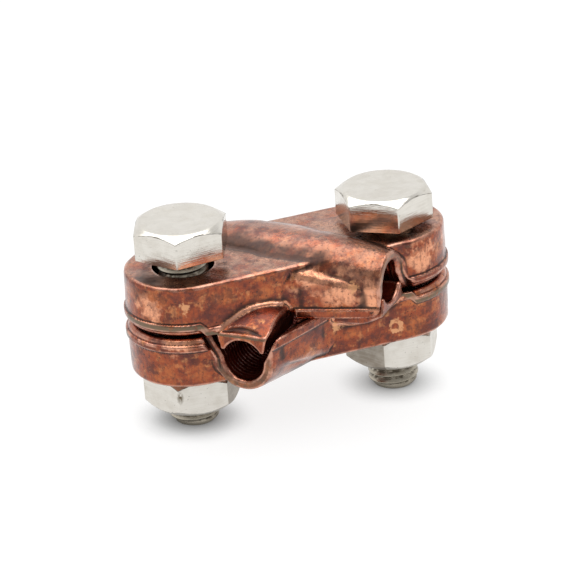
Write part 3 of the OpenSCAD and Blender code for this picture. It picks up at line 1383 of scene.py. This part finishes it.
@dataclass(frozen=True)
class ForgedCopper(Finish):
    """Forged copper alloy, tumbled and handled: a warm brown oxide skin with bright rubbed edges, painted
    shade in its hollows and painted highlights on a few ridges and patches.
    """

    name: str = "forged_copper_oxidised"
    dents_mm: float = 0.05
    purple: str = "#52302c"
    copper: str = "#984828"
    oxide: str = "#672f24"
    amber: str = "#b16236"
    scorched: str = "#4a251e"
    tan: str = "#d28c58"
    handled: str = "#bb8a70"
    speck: str = "#40231c"
    # Worn metal on the edges, also the colour of painted highlights on the beads and rims
    worn_and_highlight: str = "#dca28a"
    # Painted shade, with some grime, in the hollows and creases
    grime_and_shade: str = "#26150f"
    trimmed: str = "#6a5d49"
    rubbed: str = "#e6a878"
    # Opened metal, also the colour of painted highlights on the belly, the beads and the lower land
    opened_and_highlight: str = "#f6ac84"
    bore: str = "#8a3018"

    def material(self) -> Material:
        """Builds the finish.

        Returns:
            The material.
        """
        made = bpy.data.materials.new(self.name)
        tree = clear_tree(made)
        # Red-brown oxide in patches of a few millimetres, which breaks up the copper's reflections
        oxide = self.blotches(tree, 6.0, (0.52, 0.36), 8.0, (1.0, 1.0, 1.4))
        # Amber, thinly oxidised places between them, and bare metal in the midst of these
        amber = self.blotches(tree, 6.0, (0.5, 0.62), 8.0, (1.0, 1.0, 1.4))
        bare = self.blotches(tree, 6.0, (0.63, 0.78), 8.0, (1.0, 1.0, 1.4))
        # Fine dark specks of scale
        speck = self.blotches(tree, 0.6, (0.58, 0.74), 4.0)
        # Fine mottling of purple-brown and bright grains, which gives the skin its depth
        mottle = self.blotches(tree, 0.9, (0.46, 0.68), 5.0, (1.0, 1.0, 0.8), most=0.55)
        glint = self.blotches(tree, 0.7, (0.56, 0.72), 4.0, most=0.5)
        # Stained and thinly oxidised patches of two or three millimetres
        stained = self.blotches(tree, 2.6, (0.5, 0.62), 6.0, most=0.6)
        thin = self.blotches(tree, 2.1, (0.56, 0.7), 6.0, most=0.65)
        # Upright streaks left by the trimming die
        streak = self.blotches(tree, 0.5, (0.5, 0.72), 3.0, (1.0, 1.0, 0.1), most=0.4)
        # Bright worn edges with painted highlights on the beads and rims, painted shade with some grime in
        # the hollows, the dull sheared trim and spots rubbed bright
        ragged = self.blotches(tree, 1.4, (0.3, 0.7), 6.0, most=0.9)
        patchy = self.blotches(tree, 2.4, (0.32, 0.62), 4.0)
        edge = self.masked(tree, Mask.EDGE, (0.62, 0.9), patchy, 0.75)
        hollow = self.masked(tree, Mask.EDGE, (0.46, 0.2), 0.85)
        trim = self.masked(tree, Mask.TRIM, (0.0, 1.0), self.blotches(tree, 1.2, (0.2, 0.5), 6.0), 0.9)
        rub = self.frayed(tree, Mask.RUB, ragged, (0.9, 1.2), 0.8)
        # The hood is handled most, so its skin is paler
        uneven = self.blotches(tree, 4.0, (0.36, 0.6), 6.0)
        wear = self.masked(tree, Mask.WEAR, (0.2, 0.8), uneven, 0.9)
        # A few places on the lobes are rubbed down to the pale metal; the pale places on the belly, the beads
        # and the lower land are painted highlights
        cloudy = self.blotches(tree, 3.0, (0.38, 0.58), 8.0, most=0.6)
        open_metal_and_highlight = self.frayed(tree, Mask.BARE, cloudy, (0.6, 1.05), 0.85)
        # The grooves are never handled and stay a deep red-brown
        bore = self.masked(tree, Mask.BORE, (0.2, 0.8), 0.9)
        colour = self.layered(
            tree,
            linear(self.copper),
            [
                (oxide, linear(self.oxide)),
                (amber, linear(self.amber)),
                (stained, linear(self.scorched)),
                (thin, linear(self.tan)),
                (wear, linear(self.handled)),
                (open_metal_and_highlight, linear(self.opened_and_highlight)),
                (streak, linear(self.purple)),
                (mottle, linear(self.purple)),
                (glint, linear(self.amber)),
                (bare, linear(self.worn_and_highlight)),
                (speck, linear(self.speck)),
                (trim, linear(self.trimmed)),
                # Painted shade with some grime
                (hollow, linear(self.grime_and_shade)),
                (bore, linear(self.bore)),
                (rub, linear(self.rubbed)),
                # Worn edges and painted highlights
                (edge, linear(self.worn_and_highlight)),
            ],
            Blend.RGBA,
        )
        rough = self.layered(
            tree,
            0.24,
            [(oxide, 0.3), (amber, 0.2), (speck, 0.45), (trim, 0.36), (hollow, 0.4), (bore, 0.4), (rub, 0.5)],
            Blend.FLOAT,
        )
        # Fine grain on shallow dents, as the die and the tumbling leave them
        grain = self.blotches(tree, 0.35, (0.2, 0.8), 3.0, most=0.2)
        dents = self.blotches(tree, 1.8, (0.2, 0.8), 2.0)
        height = add_node(tree, "ShaderNodeMath", {0: grain, 1: dents}, operation="ADD").outputs[0]
        depth = {"Distance": self.dents_mm * MM, "Strength": 1.0}
        relief = add_node(tree, "ShaderNodeBump", {"Height": height, **depth})
        # The coat is the thin film of oil and lacquer-like oxide that gives the brown its pale gleam
        shader = add_node(
            tree,
            "ShaderNodeBsdfPrincipled",
            {
                "Base Color": colour,
                "Metallic": 1.0,
                "Roughness": rough,
                "Normal": relief.outputs[0],
                "Coat Weight": 0.55,
                "Coat Roughness": 0.28,
            },
        )
        add_node(tree, "ShaderNodeOutputMaterial", {"Surface": shader.outputs[0]})
        return made


@dataclass(frozen=True)
class ColdFormedStainless(Finish):
    """Cold-formed stainless steel: pale warm grey, with fine drawing marks, dark seams, a few stains and
    painted shade on the nut flats that face each other.
    """

    name: str = "stainless_cold_formed_satin"
    gloss: float = 0.36
    marks_mm: float = 0.006
    steel: str = "#dedad2"
    dull: str = "#c8c2b7"
    stain: str = "#6d6250"
    oiled: str = "#a09683"
    seam: str = "#4a4034"
    film: str = "#857a6c"
    rust_mm: tuple[float, float, float] = (-26.3, -7.9, 10.9)

    def rust(self, tree: Tree) -> Socket:
        """Adds one upright brown run on the left nut's front corner.

        Args:
            tree: The material's node tree.

        Returns:
            Factor from 0 to 1.
        """
        place = add_node(tree, "ShaderNodeTexCoord").outputs["Object"]
        spot = tuple(c * MM for c in self.rust_mm)
        away = add_node(tree, "ShaderNodeVectorMath", {0: place, 1: spot}, operation="SUBTRACT").outputs[0]
        # Less weight on the height, so the run is taller than wide
        flat = add_node(tree, "ShaderNodeVectorMath", {0: away, 1: (1, 1, 0.45)}, operation="MULTIPLY")
        reach = add_node(tree, "ShaderNodeVectorMath", {0: flat.outputs[0]}, operation="LENGTH")
        limits = {"Value": reach.outputs["Value"], "From Min": 0.75 * MM, "From Max": 0.2 * MM}
        near = add_node(tree, "ShaderNodeMapRange", limits).outputs[0]
        ragged = self.blotches(tree, 0.7, (0.42, 0.56), 4.0, (1.0, 1.0, 0.6))
        return add_node(tree, "ShaderNodeMath", {0: near, 1: ragged}, operation="MULTIPLY").outputs[0]

    def material(self) -> Material:
        """Builds the finish.

        Returns:
            The material.
        """
        made = bpy.data.materials.new(self.name)
        tree = clear_tree(made)
        # Faint clouds that take the shine off parts of a flat
        cloud = self.blotches(tree, 3.0, (0.4, 0.7), 5.0)
        faint_cloud = add_node(tree, "ShaderNodeMath", {0: cloud, 1: 0.5}, operation="MULTIPLY").outputs[0]
        # Drawing marks along the flats, wider apart than real ones so that they show
        lines = self.blotches(tree, 0.25, (0.4, 0.65), 2.0, (0.06, 0.06, 1.0))
        faint_lines = add_node(tree, "ShaderNodeMath", {0: lines, 1: 0.25}, operation="MULTIPLY").outputs[0]
        # Small brown stains and pits
        stain = self.blotches(tree, 1.1, (0.68, 0.8), 4.0, (1.0, 1.0, 0.6))
        rust = self.rust(tree)
        pits = self.blotches(tree, 0.35, (0.72, 0.8), 1.0)
        thread = self.masked(tree, Mask.THREAD, (0.2, 0.8), 0.75)
        # Darker line where a chamfer cuts the flats, and darker roots of the thread
        seam = self.masked(tree, Mask.SEAM, (0.1, 0.9), self.blotches(tree, 0.9, (0.3, 0.62), 3.0), 0.85)
        # Painted shade: a dull brown on the flats that face each other under the clamp
        film = self.masked(tree, Mask.FILM, (0.1, 0.9), 0.9)
        colour = self.layered(
            tree,
            linear(self.steel),
            [
                (film, linear(self.film)),
                (faint_cloud, linear(self.dull)),
                (faint_lines, linear(self.dull)),
                (stain, linear(self.stain)),
                (rust, linear(self.stain)),
                (pits, linear(self.seam)),
                (thread, linear(self.oiled)),
                (seam, linear(self.seam)),
            ],
            Blend.RGBA,
        )
        dulled = [(cloud, self.gloss + 0.08), (stain, 0.5), (thread, 0.3), (seam, 0.6)]
        rough = self.layered(tree, self.gloss, dulled, Blend.FLOAT)
        depth = {"Distance": self.marks_mm * MM, "Strength": 1.0}
        relief = add_node(tree, "ShaderNodeBump", {"Height": lines, **depth})
        shader = add_node(
            tree,
            "ShaderNodeBsdfPrincipled",
            {"Base Color": colour, "Metallic": 1.0, "Roughness": rough, "Normal": relief.outputs[0]},
        )
        add_node(tree, "ShaderNodeOutputMaterial", {"Surface": shader.outputs[0]})
        return made


@dataclass(frozen=True)
class Softbox:
    """A square soft light that shows in the metal's shine and leaves matt surfaces alone.

    Place and size are in metres, and the power is in watts.
    """

    name: str
    place: tuple[float, float, float]
    size: float
    power: float

    def hang(self, target: Vector) -> Object:
        """Makes the light and turns it to the clamp.

        Args:
            target: Where it looks, in metres.

        Returns:
            The light.
        """
        data = bpy.data.lights.new(self.name, "AREA")
        data.size = self.size
        data.energy = self.power
        made = bpy.data.objects.new(self.name, data)
        made.location = self.place
        made.visible_diffuse = False
        made.rotation_mode = "QUATERNION"
        made.rotation_quaternion = (target - made.location).to_track_quat("-Z", "Y")
        bpy.context.scene.collection.objects.link(made)
        return made


@dataclass
class Studio:
    """White floor, soft light and the camera at the photograph's angle."""

    target: Vector
    foot_left: Vector
    foot_right: Vector
    # Camera, as fitted to the photograph
    azimuth_deg: float = 19.23
    elevation_deg: float = 25.0
    roll_deg: float = -4.05
    distance: float = 0.6891
    focal_px: float = 3526.6
    frame_px: float = 580.0
    shift_px: tuple[float, float] = (1.82, 0.64)
    sensor_mm: float = 36.0
    clip_start: float = 0.01
    # Floor, with the light that it shows and the reach of the shade on it
    table: str = "#959595"
    table_lift: float = 0.78
    table_reach: float = 1.5
    shade_reach: float = 0.010
    shade_span: tuple[float, float] = (0.1, 0.8)
    # Room: its dimmer front and top, and the light that it gives matt surfaces
    room_front: float = 0.5
    room_turn: tuple[float, float] = (-0.75, 0.25)
    room_top: float = 0.7
    room_rise: tuple[float, float] = (0.45, 0.8)
    fill: float = 1.0
    lamps: Sequence[Softbox] = (
        Softbox("softbox_top", (-0.05, 0.15, 0.6), 0.8, 3.3),
        Softbox("softbox_front", (0.18, -0.24, 0.52), 0.3, 0.6),
    )

    def camera(self) -> Object:
        """Makes the camera and gives it to the scene.

        Returns:
            The camera.
        """
        az = math.radians(self.azimuth_deg)
        el = math.radians(self.elevation_deg)
        roll = math.radians(self.roll_deg)
        right = Vector((math.cos(az), -math.sin(az), 0))
        level = Vector((math.sin(az), math.cos(az), 0))
        ahead = level * math.cos(el) + Vector((0, 0, -math.sin(el)))
        up = level * math.sin(el) + Vector((0, 0, math.cos(el)))
        turned_right = right * math.cos(roll) + up * math.sin(roll)
        turned_up = up * math.cos(roll) - right * math.sin(roll)
        data = bpy.data.cameras.new("camera")
        data.sensor_width = self.sensor_mm
        data.lens = self.focal_px / self.frame_px * data.sensor_width
        data.shift_x = self.shift_px[0] / self.frame_px
        data.shift_y = self.shift_px[1] / self.frame_px
        data.clip_start = self.clip_start
        made = bpy.data.objects.new("camera", data)
        basis = Matrix((turned_right, turned_up, -ahead)).transposed().to_4x4()
        made.matrix_world = Matrix.Translation(self.target - ahead * self.distance) @ basis
        bpy.context.scene.collection.objects.link(made)
        bpy.context.scene.camera = made
        return made

    def shown(self, tree: Tree) -> Socket:
        """Tells rays that show the background, seen, mirrored or let through, from those that light.

        Args:
            tree: The node tree of the floor or the room.

        Returns:
            Factor that is 1 for rays that show it.
        """
        path = add_node(tree, "ShaderNodeLightPath").outputs
        seen = {0: path["Is Camera Ray"], 1: path["Is Glossy Ray"]}
        either = add_node(tree, "ShaderNodeMath", seen, operation="MAXIMUM").outputs[0]
        through = {0: either, 1: path["Is Transmission Ray"]}
        return add_node(tree, "ShaderNodeMath", through, operation="MAXIMUM").outputs[0]

    def floor(self) -> Object:
        """Makes the pale floor under both bolt ends.

        Returns:
            The floor.
        """
        # Matt white card: an even pale ground that keeps the soft shadow
        made = bpy.data.materials.new("white_card_matt")
        tree = clear_tree(made)
        matt = add_node(tree, "ShaderNodeBsdfDiffuse", {"Color": linear(self.table)})
        # The lift fades with the open sky over a place, so the shade stays deep right under the clamp
        sky = add_node(tree, "ShaderNodeAmbientOcclusion", {"Distance": self.shade_reach}, samples=16)
        span = {"From Min": self.shade_span[0], "From Max": self.shade_span[1], "To Max": self.table_lift}
        level = add_node(tree, "ShaderNodeMapRange", {"Value": sky.outputs["AO"], **span}).outputs[0]
        lift = add_node(tree, "ShaderNodeEmission", {"Color": (1, 1, 1, 1), "Strength": level})
        bright = add_node(tree, "ShaderNodeAddShader", {0: matt.outputs[0], 1: lift.outputs[0]})
        choice = {0: self.shown(tree), 1: matt.outputs[0], 2: bright.outputs[0]}
        either = add_node(tree, "ShaderNodeMixShader", choice)
        add_node(tree, "ShaderNodeOutputMaterial", {"Surface": either.outputs[0]})
        along = (self.foot_right - self.foot_left).normalized()
        back = Vector((0, 1, 0))
        centre = (self.foot_left + self.foot_right) / 2
        turns = ((-1, -1), (1, -1), (1, 1), (-1, 1))
        corners = [centre + (along * a + back * b) * self.table_reach for a, b in turns]
        piece = make_piece("table", np.array([list(c) for c in corners]) / MM, [[0, 1, 2, 3]], made)
        return piece

    def world(self) -> None:
        """Makes the room: white behind the clamp, dim on the camera's side and between the lamps."""
        made = bpy.data.worlds.new("white_room")
        tree = clear_tree(made)
        way = add_node(tree, "ShaderNodeTexCoord").outputs["Generated"]
        parts = add_node(tree, "ShaderNodeSeparateXYZ", {0: way}).outputs
        # Where the room changes along its depth and its height, and from which level to which
        changes = (
            (parts[1], self.room_turn, (self.room_front, 1.0)),
            (parts[2], self.room_rise, (1.0, self.room_top)),
        )
        levels = {}
        for number, (value, span, level) in enumerate(changes):
            ends = {"From Min": span[0], "From Max": span[1], "To Min": level[0], "To Max": level[1]}
            limits = {"Value": value, **ends}
            change = add_node(tree, "ShaderNodeMapRange", limits, interpolation_type="SMOOTHSTEP")
            levels[number] = change.outputs[0]
        both = add_node(tree, "ShaderNodeMath", levels, operation="MULTIPLY").outputs[0]
        sweep = add_node(tree, "ShaderNodeBackground", {"Color": (1, 1, 1, 1), "Strength": both})
        fill = add_node(tree, "ShaderNodeBackground", {"Color": (1, 1, 1, 1), "Strength": self.fill})
        choice = {0: self.shown(tree), 1: fill.outputs[0], 2: sweep.outputs[0]}
        either = add_node(tree, "ShaderNodeMixShader", choice)
        add_node(tree, "ShaderNodeOutputWorld", {"Surface": either.outputs[0]})
        bpy.context.scene.world = made

    def build(self) -> None:
        """Sets up camera, floor, lights and room."""
        self.camera()
        self.floor()
        self.world()
        for lamp in self.lamps:
            lamp.hang(self.target)
        bpy.context.scene.view_settings.view_transform = "Standard"


def clamp_half(frame: dict[str, Any]) -> ClampHalf:
    """Reads the half's main sizes from the frame.

    Args:
        frame: The loaded frame.

    Returns:
        The half, ready to build.
    """
    mounts = {m["name"]: m for m in frame["record"]["mounts"]}
    upper = mounts["upper_channel"]
    lower = mounts["lower_channel"]
    bolts = [j["pos_m"][0] for j in frame["joints"] if j["type"] == "hinge"]
    high = upper["pos_m"][2] / MM
    low = lower["pos_m"][2] / MM
    return ClampHalf(
        half_pitch=max(bolts) / MM,
        axis_h=(high - low) / 2,
        groove_r=upper["dims"]["r_mm"],
        mouth_s=upper["dims"]["length_mm"] / 2,
        mid_z=(high + low) / 2,
    )


def fastener_place(node: str) -> dict[str, Any]:
    """Reads where a fastener's solid stands.

    Args:
        node: Name of the solid.

    Returns:
        Its name, axis and height span in millimetres, as a fastener's fields.
    """
    low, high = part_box(node)
    return {"node": node, "axis_x": (low.x + high.x) / 2 / MM, "low_z": low.z / MM, "high_z": high.z / MM}


def main() -> None:
    """Builds the clamp and its studio."""
    logging.basicConfig(level=logging.INFO, format="%(name)s: %(message)s")
    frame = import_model()
    copper = ForgedCopper().material()
    satin = ColdFormedStainless().material()
    drawn = ColdFormedStainless(name="stainless_cold_formed_bright", gloss=0.15, marks_mm=0.008).material()
    half = clamp_half(frame)
    pieces = half.build(copper)
    # How far each hexagon is turned, and which flat of a nut faces the other nut and gets the painted shade
    for node, turn in (("left_bolt", 35.5), ("right_bolt", 55.0)):
        pieces.append(HexBolt(turn_deg=turn, **fastener_place(node)).build(drawn))
    for node, turn, shaded_flat in (("left_nut", 84.5, -2), ("right_nut", 89.7, 2)):
        pieces.append(HexNut(turn_deg=turn, shaded_flat=shaded_flat, **fastener_place(node)).build(satin))
    for piece in pieces:
        LOG.info("%s: %d faces", piece.name, len(piece.data.polygons))
    feet = [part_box(f"{side}_bolt")[0].z for side in ("left", "right")]
    reach = half.half_pitch * MM
    Studio(
        target=Vector((0, 0, half.mid_z * MM)),
        foot_left=Vector((-reach, 0, feet[0])),
        foot_right=Vector((reach, 0, feet[1])),
    ).build()


if __name__ == "__main__":
    main()
